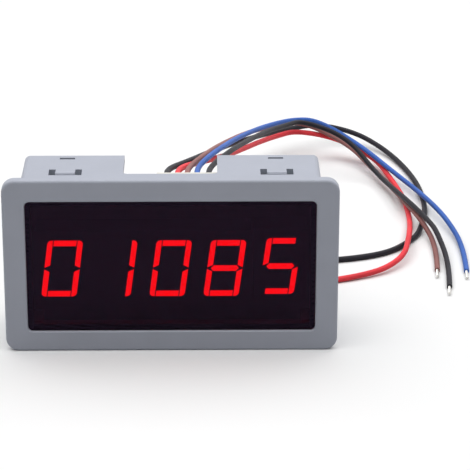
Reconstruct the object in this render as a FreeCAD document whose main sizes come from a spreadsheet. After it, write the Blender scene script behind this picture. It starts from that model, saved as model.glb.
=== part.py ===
"""Digital tachometer for panel mounting: a snap-in moulded case with a smoked window, five red LED
digits, a circuit board and a five-way connector with its leads. Millimetres, X to the right, Y from
the front face to the open back, Z up. The origin is under the middle of the case, on its lowest face."""

import FreeCAD, Part
import math
import os

import Sketcher
from FreeCAD import Placement, Rotation, Vector

DRIVING = {
    # Displays: the case is built round them
    "digit_pitch": 12.82,
    "module_gap": 0.3,
    "single_rise": 0.47,
    "display_depth": 8.0,
    "display_height": 19.0,
    "digit_height": 14.2,
    "digit_width": 8.35,
    "bar_height": 1.42,
    "bar_width": 1.27,
    "segment_gap": 0.22,
    "segment_tip": 0.6,
    "segment_corner": 1.0,
    "segment_depth": 0.6,
    "slant": 0.135,
    "point_radius": 0.7,
    "point_shift": 1.05,
    "row_spacing": 15.24,
    "pin_pitch": 2.54,
    "pin_side": 0.5,
    "pin_stub": 1.2,
    "solder_radius": 0.9,
    "solder_height": 0.5,
    # Room inside the case round the displays, and the case moulding
    "room_beside": 1.91,
    "room_above": 9.3,
    "room_below": 7.3,
    "room_behind": 12.9,
    "wall": 1.6,
    "body_corner": 1.4,
    "lip_beside": 3.9,
    "lip_above": 2.1,
    "bezel_depth": 2.5,
    "bezel_corner": 3.1,
    "bezel_edge": 0.6,
    # Window
    "frame_beside": 5.3,
    "frame_above": 5.13,
    "window_drop": 0.1,
    "window_corner": 1.2,
    "window_lip": 0.25,
    "pane_recess": 0.5,
    "pane_thickness": 1.2,
    "pane_clearance": 0.1,
    "ledge_width": 1.3,
    "ledge_thickness": 1.2,
    "display_gap": 0.2,
    # Wire notch in the upper and lower walls
    "notch_width": 22.4,
    "notch_shift": -0.2,
    "notch_past_board": 0.45,
    "notch_corner": 1.2,
    # Snap tongues, and the hooks and their slots near the open back
    "tongue_inset": 10.45,
    "tongue_width": 4.65,
    "slot_width": 1.6,
    "slot_length": 4.05,
    "slot_setback": 7.7,
    "tongue_gap": 0.4,
    "barb_height": 0.35,
    "barb_bevel": 0.35,
    "barb_ramp": 2.2,
    "hook_slot_width": 3.7,
    "hook_slot_length": 1.15,
    "hook_length": 1.1,
    "hook_height": 0.6,
    "hook_setback": 0.5,
    # Board and its seats inside the case
    "board_thickness": 1.6,
    "board_clearance": 0.2,
    "board_corner": 0.8,
    "post_side": 3.0,
    "catch_height": 0.55,
    "catch_length": 1.8,
    "catch_width": 6.0,
    # Lead connector
    "connector_shift": 3.7,
    "connector_above_display": 4.7,
    "connector_thickness": 5.75,
    "connector_margin": 2.25,
    "shroud_depth": 7.0,
    "shroud_wall": 0.6,
    "shroud_floor": 1.2,
    "plug_clearance": 0.1,
    "plug_flange": 2.8,
    "plug_back_wall": 1.2,
    "wire_recess": 1.9,
    "wire_recess_depth": 0.8,
    "contact_side": 1.5,
    "contact_bore": 0.72,
    "contact_length": 5.0,
    "header_pin": 0.64,
    "header_pin_reach": 6.0,
    # Integrated circuits
    "controller_length": 12.8,
    "controller_width": 7.5,
    "controller_height": 2.3,
    "controller_pins": 10,
    "driver_length": 9.9,
    "driver_width": 3.9,
    "driver_height": 1.5,
    "driver_pins": 8,
    "leg_pitch": 1.27,
    "leg_width": 0.42,
    "leg_thickness": 0.22,
    "leg_reach": 1.4,
    "chip_standoff": 0.12,
    "chip_bevel": 0.3,
    # Other parts on the back of the board
    "regulator_width": 6.6,
    "regulator_length": 6.1,
    "regulator_height": 2.3,
    "regulator_inset": 9.3,
    "regulator_drop": 5.1,
    "tab_thickness": 0.5,
    "tab_reach": 1.5,
    "diode_length": 4.4,
    "diode_width": 2.6,
    "diode_height": 2.2,
    "diode_inset": 21.3,
    "capacitor_radius": 3.15,
    "capacitor_height": 5.3,
    "capacitor_base": 6.6,
    "capacitor_base_height": 1.0,
    "capacitor_crimp": 0.25,
    "capacitor_inset": 14.3,
    "capacitor_drop": 4.1,
    "crystal_length": 11.0,
    "crystal_width": 4.4,
    "crystal_height": 3.4,
    "crystal_flange": 0.45,
    "crystal_gap": 3.175,
    "small_part_rise": 3.9,
    "transistor_length": 2.9,
    "transistor_width": 1.3,
    "transistor_height": 1.0,
    "transistor_spacing": 4.6,
    "transistor_inset": 5.8,
    "chip_part_length": 2.0,
    "chip_part_width": 1.25,
    "chip_part_height": 0.6,
    "chip_part_end": 0.4,
    "chip_part_spacing": 2.8,
    # Leads
    "supply_lead": 1.5,
    "sensor_lead": 1.4,
    "straight_lead": 5.8,
    "bare_length": 4.5,
    "bare_wire": 0.8,
}

# The leads in their order at the plug, each with its diameter and the corners of its route. After
# a straight run out of the plug it falls to the surface that the case stands on, and lies there.
LEADS = {
    "lead_black_supply": ("supply_lead", [
        (-1.2, 23.7, 33.4), (3.6, 37.2, 30.6), (7.6, 53.0, 27.0), (11.4, 70.1, 22.7),
        (15.5, 87.8, 18.2), (20.5, 105.2, 13.8), (25.4, 121.2, 9.8), (31.9, 134.2, 6.9),
        (37.9, 142.4, 5.7), (53.1, 142.1, 4.7), (61.2, 133.2, 1.5), (66.3, 119.0, 0.8),
        (69.2, 102.0, 0.8), (69.6, 83.6, 0.8), (67.7, 71.7, 0.8), (64.5, 58.8, 0.8),
        (52.9, 45.4, 0.8), (36.6, 43.4, 0.8)]),
    "lead_red_supply": ("supply_lead", [
        (1.7, 25.6, 33.0), (6.5, 40.5, 29.2), (11.2, 56.2, 25.0), (15.4, 73.3, 20.4),
        (19.7, 90.9, 16.1), (24.3, 107.7, 12.3), (29.1, 121.8, 9.1), (35.4, 131.2, 7.7),
        (48.0, 131.0, 5.2), (58.4, 121.9, 2.0), (61.6, 108.1, 0.9), (64.2, 91.3, 0.8),
        (64.4, 73.7, 0.8), (62.5, 56.1, 2.9), (60.4, 44.6, 2.5), (49.2, 34.0, 0.8),
        (35.3, 28.2, 0.8)]),
    "lead_brown_sensor": ("sensor_lead", [
        (3.8, 23.6, 33.6), (7.1, 38.7, 31.2), (10.5, 57.0, 27.4), (14.2, 76.6, 22.7),
        (18.4, 96.0, 18.1), (23.7, 113.5, 14.0), (29.1, 126.7, 10.8), (37.2, 133.1, 10.0),
        (50.9, 126.5, 4.8), (56.4, 114.3, 2.0), (61.6, 96.9, 1.6), (64.0, 82.4, 2.5),
        (66.3, 68.8, 2.9), (69.4, 52.6, 0.8), (68.3, 37.0, 0.72)]),
    "lead_blue_sensor": ("sensor_lead", [
        (6.1, 23.9, 33.6), (9.4, 39.6, 31.4), (12.6, 57.6, 27.5), (16.2, 77.1, 23.1),
        (20.6, 96.1, 18.8), (25.7, 113.0, 15.1), (31.1, 125.9, 12.2), (39.4, 133.0, 11.3),
        (54.5, 129.7, 3.7), (62.4, 117.3, 1.1), (67.2, 100.4, 1.8), (70.5, 84.1, 3.0),
        (74.2, 70.4, 2.2), (76.9, 52.8, 0.9), (75.8, 36.1, 0.72)]),
    "lead_black_signal": ("sensor_lead", [
        (9.3, 24.6, 33.6), (14.2, 40.6, 32.0), (17.6, 58.1, 28.1), (21.5, 76.8, 23.8),
        (25.7, 94.5, 19.8), (31.3, 109.2, 16.5), (36.4, 118.5, 15.0), (49.7, 117.6, 10.1),
        (57.5, 106.6, 2.7), (60.9, 93.8, 3.1), (64.6, 76.8, 4.7), (68.8, 63.6, 4.0),
        (70.0, 56.7, 3.9), (72.2, 40.2, 0.72), (70.4, 26.6, 0.72)]),
}

# Segments of a digit that are lit, from the left digit to the right one
SHOWN = ("abcdef", "bc", "abcdef", "abcdefg", "acdfg")
SEGMENTS = "abcdefg"
LEAD_COUNT = 5
RESISTORS = 4


class Size:
    """A length with its value and the spreadsheet formula that gives it."""

    def __init__(self, value, formula=None):
        self.value = float(value)
        self.formula = formula or f"({float(value)})"

    def combine(self, sign, other, value):
        return Size(value, f"({self.formula} {sign} {other.formula})")

    def __add__(self, other):
        other = as_size(other)
        return self.combine("+", other, self.value + other.value)

    def __sub__(self, other):
        other = as_size(other)
        return self.combine("-", other, self.value - other.value)

    def __mul__(self, other):
        other = as_size(other)
        return self.combine("*", other, self.value * other.value)

    def __truediv__(self, other):
        other = as_size(other)
        return self.combine("/", other, self.value / other.value)

    def __neg__(self):
        return as_size(0) - self

    __radd__ = __add__
    __rmul__ = __mul__


def as_size(number):
    return number if isinstance(number, Size) else Size(number)


class Sizes:
    """Gives each driving dimension by its name in the sheet."""

    def __getattr__(self, name):
        return Size(DRIVING[name], "Sizes." + name)


S = Sizes()

# Places across and up, outward from the displays
DISPLAY_RUN = S.digit_pitch * 5 + S.module_gap - S.segment_gap
INNER_HALF_WIDTH = DISPLAY_RUN / 2 + S.room_beside
INNER_HALF_HEIGHT = (S.display_height + S.room_above + S.room_below) / 2
HALF_BODY_WIDTH = INNER_HALF_WIDTH + S.wall
HALF_BODY_HEIGHT = INNER_HALF_HEIGHT + S.wall
HALF_BEZEL_WIDTH = HALF_BODY_WIDTH + S.lip_beside
HALF_BEZEL_HEIGHT = HALF_BODY_HEIGHT + S.lip_above
HALF_WINDOW_WIDTH = HALF_BEZEL_WIDTH - S.frame_beside
HALF_WINDOW_HEIGHT = HALF_BEZEL_HEIGHT - S.frame_above
MIDDLE = HALF_BEZEL_HEIGHT
WINDOW_MIDDLE = MIDDLE - S.window_drop
BODY_TOP = MIDDLE + HALF_BODY_HEIGHT
BODY_BOTTOM = MIDDLE - HALF_BODY_HEIGHT
HALF_BOARD_WIDTH = INNER_HALF_WIDTH - S.board_clearance
HALF_BOARD_HEIGHT = INNER_HALF_HEIGHT - S.board_clearance
BOARD_TOP = MIDDLE + HALF_BOARD_HEIGHT
BOARD_BOTTOM = MIDDLE - HALF_BOARD_HEIGHT
FOUR_SHIFT = S.digit_pitch * 2 - (DISPLAY_RUN + S.segment_gap) / 2
FOUR_RISE = BODY_BOTTOM + S.wall + S.room_below + S.display_height / 2
SINGLE_SHIFT = FOUR_SHIFT + S.digit_pitch * 2.5 + S.module_gap
SINGLE_RISE = FOUR_RISE + S.single_rise
TONGUE_SHIFT = HALF_BODY_WIDTH - S.tongue_inset
CONNECTOR_HALF = S.pin_pitch * 2 + S.connector_margin
CONNECTOR_RISE = FOUR_RISE + S.display_height / 2 + S.connector_above_display
SMALL_PART_RISE = BOARD_BOTTOM + S.small_part_rise
FIRST_RESISTOR = S.transistor_inset - HALF_BOARD_WIDTH + S.transistor_spacing * (len(SHOWN) - 0.25)
LAST_RESISTOR = FIRST_RESISTOR + S.chip_part_spacing * (RESISTORS - 1)
# Places along the depth, either side of the middle of the case
CASE_DEPTH = (
    S.pane_recess + S.pane_thickness + S.display_gap + S.display_depth + S.board_thickness
    + S.room_behind
)
FRONT = -CASE_DEPTH / 2
BACK = CASE_DEPTH / 2
BEZEL_BACK = FRONT + S.bezel_depth
PANE_BACK = FRONT + S.pane_recess + S.pane_thickness
LEDGE_BACK = PANE_BACK + S.ledge_thickness
DISPLAY_FACE = PANE_BACK + S.display_gap
BOARD_FRONT = DISPLAY_FACE + S.display_depth
BOARD_BACK = BOARD_FRONT + S.board_thickness
SHROUD_MOUTH = BOARD_BACK + S.shroud_depth
PLUG_BACK = SHROUD_MOUTH + S.plug_flange
LEAD_START = PLUG_BACK - S.wire_recess_depth


def fill_sheet(doc):
    """Writes the driving dimensions to a spreadsheet, each cell under its own name."""
    sheet = doc.addObject("Spreadsheet::Sheet", "Sizes")
    for row, (alias, value) in enumerate(DRIVING.items(), start=1):
        sheet.set(f"A{row}", alias)
        sheet.set(f"B{row}", str(value))
        sheet.setAlias(f"B{row}", alias)
    doc.recompute()
    return sheet


def new_body(doc, label):
    body = doc.addObject("PartDesign::Body", label)
    body.Label = label
    body.AllowCompound = True
    return body


def new_sketch(body, plane, level):
    """A sketch on one of the body's origin planes, moved along that plane's normal."""
    sketch = body.newObject("Sketcher::SketchObject", body.Name + "_sketch")
    support = next(item for item in body.Origin.OriginFeatures if item.Role == plane)
    sketch.AttachmentSupport = [(support, "")]
    sketch.MapMode = "FlatFace"
    level = as_size(level)
    sketch.AttachmentOffset.Base.z = level.value
    sketch.setExpression("AttachmentOffset.Base.z", level.formula)
    return sketch


def front_sketch(body, depth):
    """A sketch in X and Z at a place along the depth. Its normal points to the front."""
    return new_sketch(body, "XZ_Plane", -depth)


def tie(sketch, geometry, point, x, y):
    """Ties one point of a sketch to its two distances from the sketch's origin."""
    for kind, distance in (("DistanceX", x), ("DistanceY", y)):
        if distance is None:
            continue
        index = sketch.addConstraint(
            Sketcher.Constraint(kind, -1, 1, geometry, point, distance.value)
        )
        sketch.setExpression(f"Constraints[{index}]", distance.formula)


def vector(point):
    return Vector(point[0].value, point[1].value, 0)


def add_arc(sketch, start, end, centre):
    """Adds an arc and returns its index and the numbers of its first and last points."""
    middle, first, last = vector(centre), vector(start), vector(end)
    radius = (first - middle).Length
    forward = (first - middle).cross(last - middle).z > 0
    if not forward:
        first, last = last, first
    angles = [math.atan2(p.y - middle.y, p.x - middle.x) for p in (first, last)]
    if angles[1] < angles[0]:
        angles[1] += 2 * math.pi
    circle = Part.Circle(middle, Vector(0, 0, 1), radius)
    index = sketch.addGeometry(Part.ArcOfCircle(circle, angles[0], angles[1]))
    return (index, 1, 2) if forward else (index, 2, 1)


def outline(sketch, steps):
    """Draws a closed outline. Each step is the next corner, or the corner and an arc's centre."""
    corners = [tuple(as_size(value) for value in step[:2]) for step in steps]
    pieces = []
    for number, step in enumerate(steps):
        start, end = corners[number - 1], corners[number]
        if len(step) == 2:
            line = Part.LineSegment(vector(start), vector(end))
            pieces.append((sketch.addGeometry(line), 1, 2))
            continue
        centre = (as_size(step[2]), as_size(step[3]))
        piece = add_arc(sketch, start, end, centre)
        pieces.append(piece)
    for number, step in enumerate(steps):
        before, after = pieces[number], pieces[(number + 1) % len(steps)]
        sketch.addConstraint(
            Sketcher.Constraint("Coincident", before[0], before[2], after[0], after[1])
        )
        tie(sketch, before[0], before[2], *corners[number])
        if len(step) > 2:
            tie(sketch, before[0], 3, as_size(step[2]), None)


def rectangle(sketch, left, right, low, high):
    outline(sketch, [(left, low), (right, low), (right, high), (left, high)])


def rounded_rectangle(sketch, left, right, low, high, radius):
    outline(sketch, [
        (left + radius, low),
        (right - radius, low),
        (right, low + radius, right - radius, low + radius),
        (right, high - radius),
        (right - radius, high, right - radius, high - radius),
        (left + radius, high),
        (left, high - radius, left + radius, high - radius),
        (left, low + radius),
        (left + radius, low, left + radius, low + radius),
    ][1:])


def circle(sketch, x, y, radius):
    x, y, radius = as_size(x), as_size(y), as_size(radius)
    index = sketch.addGeometry(Part.Circle(vector((x, y)), Vector(0, 0, 1), radius.value))
    tie(sketch, index, 3, x, y)
    limit = sketch.addConstraint(Sketcher.Constraint("Radius", index, radius.value))
    sketch.setExpression(f"Constraints[{limit}]", radius.formula)


def pad(body, sketch, length, backward=False, both_ways=False):
    """Pads a sketch along its normal, or backward, or half each way."""
    feature = body.newObject("PartDesign::Pad", body.Name + "_pad")
    feature.Profile = sketch
    feature.setExpression("Length", as_size(length).formula)
    feature.Reversed = backward
    if both_ways:
        feature.SideType = "Symmetric"
    sketch.Visibility = False
    return feature


def pocket(body, sketch, length, backward=False, both_ways=False):
    """Cuts a sketch against its normal, or backward, or half each way."""
    feature = body.newObject("PartDesign::Pocket", body.Name + "_pocket")
    feature.Profile = sketch
    feature.setExpression("Length", as_size(length).formula)
    feature.Reversed = backward
    if both_ways:
        feature.SideType = "Symmetric"
    sketch.Visibility = False
    return feature


def face_edges(shape, depth, inside=None):
    """Names of the edges that lie in one plane across the depth, all or only those within a size."""
    names = []
    for number, edge in enumerate(shape.Edges, start=1):
        box = edge.BoundBox
        flat = abs(box.YMin - depth) < 1e-4 and abs(box.YMax - depth) < 1e-4
        if not flat:
            continue
        outer = max(abs(box.XMin), abs(box.XMax)) > inside if inside else False
        if not outer:
            names.append(f"Edge{number}")
    return names


def dress_edges(doc, body, kind, size, depth, inside=None):
    """Fillets or chamfers the edges of one flat face of what the body has so far."""
    doc.recompute()
    base = body.Tip
    feature = body.newObject("PartDesign::" + kind, body.Name + "_" + kind.lower())
    feature.Base = (base, face_edges(base.Shape, depth.value, inside))
    feature.setExpression("Radius" if kind == "Fillet" else "Size", size.formula)
    return feature


def block(doc, name, low, high):
    """A box between two corners, each a triple of places."""
    box = doc.addObject("Part::Box", name)
    for side, axis, start, end in zip(("Length", "Width", "Height"), "xyz", low, high):
        start, end = as_size(start), as_size(end)
        box.setExpression(side, (end - start).formula)
        box.setExpression(f"Placement.Base.{axis}", start.formula)
    return box


def group(doc, label, members):
    """Separate solids that share one node."""
    compound = doc.addObject("Part::Compound", label)
    compound.Links = members
    compound.Label = label
    return compound


def cut(doc, label, base, tool):
    result = doc.addObject("Part::Cut", label)
    result.Base = base
    result.Tool = tool
    result.Label = label
    return result


def sides(*places):
    """The same distance to each side of the middle."""
    return [(sign, place * sign) for place in places for sign in (-1, 1)]


def tongue_outline(sketch, middle):
    """A slot each side of a tongue, joined by the thin gap in front of its free end."""
    front = BEZEL_BACK + S.slot_setback
    rear = front + S.slot_length
    inner, outer = S.tongue_width / 2, S.tongue_width / 2 + S.slot_width
    outline(sketch, [
        (middle - outer, front),
        (middle + outer, front),
        (middle + outer, rear),
        (middle + inner, rear),
        (middle + inner, front + S.tongue_gap),
        (middle - inner, front + S.tongue_gap),
        (middle - inner, rear),
        (middle - outer, rear),
    ])


def cut_wall_openings(body):
    """Cuts the wire notch, the tongues' slots and the hook slots through both long walls at once."""
    sketch = new_sketch(body, "XY_Plane", MIDDLE)
    left, right = S.notch_shift - S.notch_width / 2, S.notch_shift + S.notch_width / 2
    mouth, end, radius = BACK + S.wall, BOARD_BACK - S.notch_past_board, S.notch_corner
    outline(sketch, [
        (right, mouth),
        (left, mouth),
        (left, end + radius),
        (left + radius, end, left + radius, end + radius),
        (right - radius, end),
        (right, end + radius, right - radius, end + radius),
    ])
    slot_end = BACK - S.hook_setback - S.hook_length
    for _, middle in sides(TONGUE_SHIFT):
        tongue_outline(sketch, middle)
        half = S.hook_slot_width / 2
        rectangle(sketch, middle - half, middle + half, slot_end - S.hook_slot_length, slot_end)
    pocket(body, sketch, HALF_BODY_HEIGHT * 3, both_ways=True)


def add_barbs(body):
    """A ramp on each tongue rises towards its free end, where it catches the panel."""
    tip = BEZEL_BACK + S.slot_setback + S.tongue_gap
    for _, middle in sides(TONGUE_SHIFT):
        sketch = new_sketch(body, "YZ_Plane", middle)
        for sign, wall in ((1, BODY_TOP), (-1, BODY_BOTTOM)):
            outline(sketch, [
                (tip, wall - S.wall * 0.5 * sign),
                (tip + S.barb_ramp, wall - S.wall * 0.5 * sign),
                (tip + S.barb_ramp, wall),
                (tip + S.barb_bevel, wall + S.barb_height * sign),
                (tip, wall),
            ])
        pad(body, sketch, S.tongue_width, both_ways=True)


def add_board_seats(body):
    """Corner posts stop the board's front face, and catches on the side walls hold its back."""
    sketch = front_sketch(body, LEDGE_BACK)
    inner_x, inner_z = INNER_HALF_WIDTH - S.post_side, INNER_HALF_HEIGHT - S.post_side
    for sign, edge in sides(INNER_HALF_WIDTH):
        near = inner_x * sign
        for rise, level in sides(INNER_HALF_HEIGHT):
            low, high = MIDDLE + inner_z * rise, MIDDLE + level
            rectangle(sketch, near, edge, low, high)
    pad(body, sketch, BOARD_FRONT - LEDGE_BACK, backward=True)
    sketch = new_sketch(body, "XY_Plane", MIDDLE)
    for sign, edge in sides(INNER_HALF_WIDTH):
        outline(sketch, [
            (edge + S.wall * 0.5 * sign, BOARD_BACK),
            (edge - S.catch_height * sign, BOARD_BACK),
            (edge, BOARD_BACK + S.catch_length),
            (edge + S.wall * 0.5 * sign, BOARD_BACK + S.catch_length),
        ])
    pad(body, sketch, S.catch_width, both_ways=True)


def add_cover_hooks(body):
    """Small inner hooks behind the rear slots, near the open back."""
    rear = BACK - S.hook_setback
    for _, middle in sides(TONGUE_SHIFT):
        sketch = new_sketch(body, "YZ_Plane", middle)
        for sign, wall in ((1, MIDDLE + INNER_HALF_HEIGHT), (-1, MIDDLE - INNER_HALF_HEIGHT)):
            outline(sketch, [
                (rear - S.hook_length, wall + S.wall * 0.5 * sign),
                (rear - S.hook_length, wall - S.hook_height * sign),
                (rear, wall),
                (rear, wall + S.wall * 0.5 * sign),
            ])
        pad(body, sketch, S.hook_slot_width, both_ways=True)


def make_housing(doc):
    """The bezel and the case behind it, moulded in one piece and open at the back."""
    body = new_body(doc, "housing")
    sketch = front_sketch(body, BEZEL_BACK)
    rounded_rectangle(
        sketch, -HALF_BEZEL_WIDTH, HALF_BEZEL_WIDTH,
        MIDDLE - HALF_BEZEL_HEIGHT, MIDDLE + HALF_BEZEL_HEIGHT, S.bezel_corner,
    )
    pad(body, sketch, S.bezel_depth)
    dress_edges(doc, body, "Fillet", S.bezel_edge, FRONT)
    sketch = front_sketch(body, BEZEL_BACK)
    rounded_rectangle(
        sketch, -HALF_BODY_WIDTH, HALF_BODY_WIDTH, BODY_BOTTOM, BODY_TOP, S.body_corner
    )
    pad(body, sketch, BACK - BEZEL_BACK, backward=True)
    sketch = front_sketch(body, LEDGE_BACK)
    rectangle(
        sketch, -INNER_HALF_WIDTH, INNER_HALF_WIDTH,
        MIDDLE - INNER_HALF_HEIGHT, MIDDLE + INNER_HALF_HEIGHT,
    )
    pocket(body, sketch, BACK - LEDGE_BACK)
    cut_window(doc, body)
    cut_wall_openings(body)
    add_barbs(body)
    add_board_seats(body)
    add_cover_hooks(body)
    return body


def window_outline(sketch, inset):
    """The window's rounded rectangle, drawn in by a clearance."""
    half_width, half_height = HALF_WINDOW_WIDTH - inset, HALF_WINDOW_HEIGHT - inset
    rounded_rectangle(
        sketch, -half_width, half_width,
        WINDOW_MIDDLE - half_height, WINDOW_MIDDLE + half_height, S.window_corner - inset,
    )


def cut_window(doc, body):
    """The pane's recess in the front face and the smaller opening behind its ledge."""
    sketch = front_sketch(body, FRONT)
    window_outline(sketch, as_size(0))
    pocket(body, sketch, PANE_BACK - FRONT)
    inside = HALF_WINDOW_WIDTH + S.window_lip
    dress_edges(doc, body, "Chamfer", S.window_lip, FRONT, inside.value)
    sketch = front_sketch(body, PANE_BACK)
    half_width, half_height = HALF_WINDOW_WIDTH - S.ledge_width, HALF_WINDOW_HEIGHT - S.ledge_width
    rectangle(
        sketch, -half_width, half_width, WINDOW_MIDDLE - half_height, WINDOW_MIDDLE + half_height
    )
    pocket(body, sketch, S.ledge_thickness)


def make_pane(doc):
    """The smoked window, bonded to the ledge behind it."""
    body = new_body(doc, "window_pane")
    sketch = front_sketch(body, PANE_BACK)
    window_outline(sketch, S.pane_clearance)
    pad(body, sketch, S.pane_thickness)
    return body


def segment_steps(name):
    """One segment's outline in an upright digit, measured from its middle."""
    half_width, half_height = S.digit_width / 2, S.digit_height / 2
    inner, gap = half_width - S.bar_width, S.segment_gap
    top, tip = half_height, S.bar_height / 2
    radius, drop = S.segment_corner, S.segment_tip
    bar = inner - gap
    if name in "ad":
        sign = 1 if name == "a" else -1
        low = (top - S.bar_height) * sign
        return [(-bar, low), (bar, low), (bar, top * sign), (-bar, top * sign)]
    if name == "g":
        point = half_width - S.bar_width / 2 - gap
        return [(-bar, -tip), (bar, -tip), (point, 0), (bar, tip), (-bar, tip), (-point, 0)]
    side = 1 if name in "bc" else -1
    rise = 1 if name in "bf" else -1
    return [
        (half_width * side, (top - radius) * rise),
        ((half_width - radius) * side, top * rise,
         (half_width - radius) * side, (top - radius) * rise),
        (inner * side, top * rise),
        (inner * side, (gap + drop) * rise),
        (half_width * side, gap * rise),
    ]


def slanted(steps, x, z):
    """Leans a digit's outline to the right and moves it to its place."""
    placed = []
    for step in steps:
        point = []
        for across, up in zip(step[::2], step[1::2]):
            up = as_size(up)
            point += [x + across + up * S.slant, z + up]
        placed.append(tuple(point))
    return placed


def draw_segment(sketch, name, x, z):
    """One segment. The round corner of an upright segment follows the top and the outer side."""
    steps = slanted(segment_steps(name), x, z)
    if name in "bcef":
        start, arc = steps[0], steps[1]
        rise = 1 if name in "bf" else -1
        chord_x, chord_z = start[0] - arc[0], start[1] - arc[1]
        bend = (chord_x * chord_x + chord_z * chord_z) / (chord_z * (-2 * rise))
        steps[1] = (arc[0], arc[1], arc[0], arc[1] - bend * rise)
    outline(sketch, steps)


def make_segments(doc, label, digits, lit):
    """The light windows of some digits, either the lit ones or the dark ones with the points."""
    body = new_body(doc, label)
    sketch = front_sketch(body, DISPLAY_FACE + S.segment_depth)
    for number, x, z in digits:
        for name in SEGMENTS:
            if (name in SHOWN[number]) == lit:
                draw_segment(sketch, name, x, z)
        if not lit:
            low = S.digit_height / 2
            circle(
                sketch, x + S.digit_width / 2 + S.point_shift - low * S.slant,
                z - low + S.point_radius, S.point_radius,
            )
    pad(body, sketch, S.segment_depth)
    return body


def make_display(doc, label, middle, rise, count, segments):
    """A display block with a recess in its face for each segment."""
    half = S.digit_pitch * count / 2 - S.segment_gap / 2
    low = rise - S.display_height / 2
    high = rise + S.display_height / 2
    shell = block(
        doc, label + "_block", (middle - half, DISPLAY_FACE, low), (middle + half, BOARD_FRONT, high)
    )
    recesses = group(doc, label + "_recesses", segments)
    return cut(doc, label, shell, recesses)


def make_displays(doc):
    """A four-digit block and a single-digit block side by side."""
    four = [
        (number, FOUR_SHIFT + S.digit_pitch * (number - 1.5), FOUR_RISE)
        for number in range(4)
    ]
    single = [(4, SINGLE_SHIFT, SINGLE_RISE)]
    made = []
    for name, digits, middle, rise in (
        ("4_digit", four, FOUR_SHIFT, FOUR_RISE),
        ("1_digit", single, SINGLE_SHIFT, SINGLE_RISE),
    ):
        lit = make_segments(doc, f"lit_segments_{name}", digits, True)
        dark = make_segments(doc, f"unlit_segments_{name}", digits, False)
        shell = make_display(doc, f"display_{name}", middle, rise, len(digits), [lit, dark])
        made += [lit, dark, shell]
    return made


def pin_places():
    """The middle of each display pin: two rows of six and two rows of five."""
    places = []
    for middle, rise, count in (
        (FOUR_SHIFT, FOUR_RISE, 6),
        (SINGLE_SHIFT, SINGLE_RISE, 5),
    ):
        for row in (-1, 1):
            for number in range(count):
                x = middle + S.pin_pitch * (number - (count - 1) / 2)
                places.append((x, rise + S.row_spacing / 2 * row))
    return places


def header_places():
    """The middle of each way of the lead connector."""
    return [
        (S.connector_shift + S.pin_pitch * (number - 2), CONNECTOR_RISE)
        for number in range(LEAD_COUNT)
    ]


def make_board(doc, pins):
    """The circuit board. Solder fills its holes, so each pin fits its hole exactly."""
    body = new_body(doc, "board_blank")
    sketch = front_sketch(body, BOARD_BACK)
    rounded_rectangle(
        sketch, -HALF_BOARD_WIDTH, HALF_BOARD_WIDTH,
        MIDDLE - HALF_BOARD_HEIGHT, MIDDLE + HALF_BOARD_HEIGHT, S.board_corner,
    )
    pad(body, sketch, S.board_thickness)
    return cut(doc, "circuit_board", body, group(doc, "board_holes", pins))


def square_pins(doc, label, places, side, front, back):
    members = []
    for number, (x, z) in enumerate(places):
        half = side / 2
        members.append(block(
            doc, f"{label}_{number}", (x - half, front, z - half), (x + half, back, z + half)
        ))
    return group(doc, label, members)


def make_solder(doc, label, places, face, to_back, pins):
    """A low mound of solder round each pin where it leaves the board."""
    mounds = []
    for number, (x, z) in enumerate(places):
        mound = doc.addObject("Part::Prism", f"{label}_mound_{number}")
        mound.Polygon = 8
        mound.setExpression("Circumradius", S.solder_radius.formula)
        mound.setExpression("Height", S.solder_height.formula)
        mound.Placement = Placement(Vector(), Rotation(Vector(1, 0, 0), -90 if to_back else 90))
        for axis, place in zip("xyz", (x, face, z)):
            mound.setExpression(f"Placement.Base.{axis}", place.formula)
        mounds.append(mound)
    return cut(doc, label, group(doc, label + "_mounds", mounds), pins)


def make_pins_and_solder(doc):
    display_pins = square_pins(
        doc, "display_pins", pin_places(), S.pin_side, BOARD_FRONT, BOARD_BACK + S.pin_stub
    )
    header_pins = square_pins(
        doc, "header_pins", header_places(), S.header_pin,
        BOARD_FRONT - S.pin_stub, BOARD_BACK + S.header_pin_reach,
    )
    back = make_solder(doc, "display_solder", pin_places(), BOARD_BACK, True, display_pins)
    front = make_solder(doc, "header_solder", header_places(), BOARD_FRONT, False, header_pins)
    return [display_pins, header_pins, back, front]


def connector_box(sketch, margin):
    """The connector's rectangle, drawn in by a margin all round."""
    half = S.connector_thickness / 2 - margin
    across = CONNECTOR_HALF - margin
    rectangle(
        sketch, S.connector_shift - across, S.connector_shift + across,
        CONNECTOR_RISE - half, CONNECTOR_RISE + half,
    )


def make_shroud(doc, pins):
    """The white shroud on the board, open at the back, with two latch slots in its upper wall."""
    body = new_body(doc, "header_shroud_moulding")
    sketch = front_sketch(body, BOARD_BACK)
    connector_box(sketch, as_size(0))
    pad(body, sketch, S.shroud_depth, backward=True)
    sketch = front_sketch(body, BOARD_BACK + S.shroud_floor)
    connector_box(sketch, S.shroud_wall)
    pocket(body, sketch, S.shroud_depth)
    sketch = front_sketch(body, SHROUD_MOUTH)
    top = CONNECTOR_RISE + S.connector_thickness / 2
    for _, place in sides(S.pin_pitch * 1.5):
        middle = S.connector_shift + place
        rectangle(
            sketch, middle - S.shroud_wall, middle + S.shroud_wall,
            top - S.shroud_wall * 1.5, top + S.shroud_wall,
        )
    pocket(body, sketch, S.shroud_depth * 0.5, backward=True)
    return cut(doc, "header_shroud", body, pins)


def square_holes(sketch, places, half):
    for x, z in places:
        rectangle(sketch, x - half, x + half, z - half, z + half)


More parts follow.
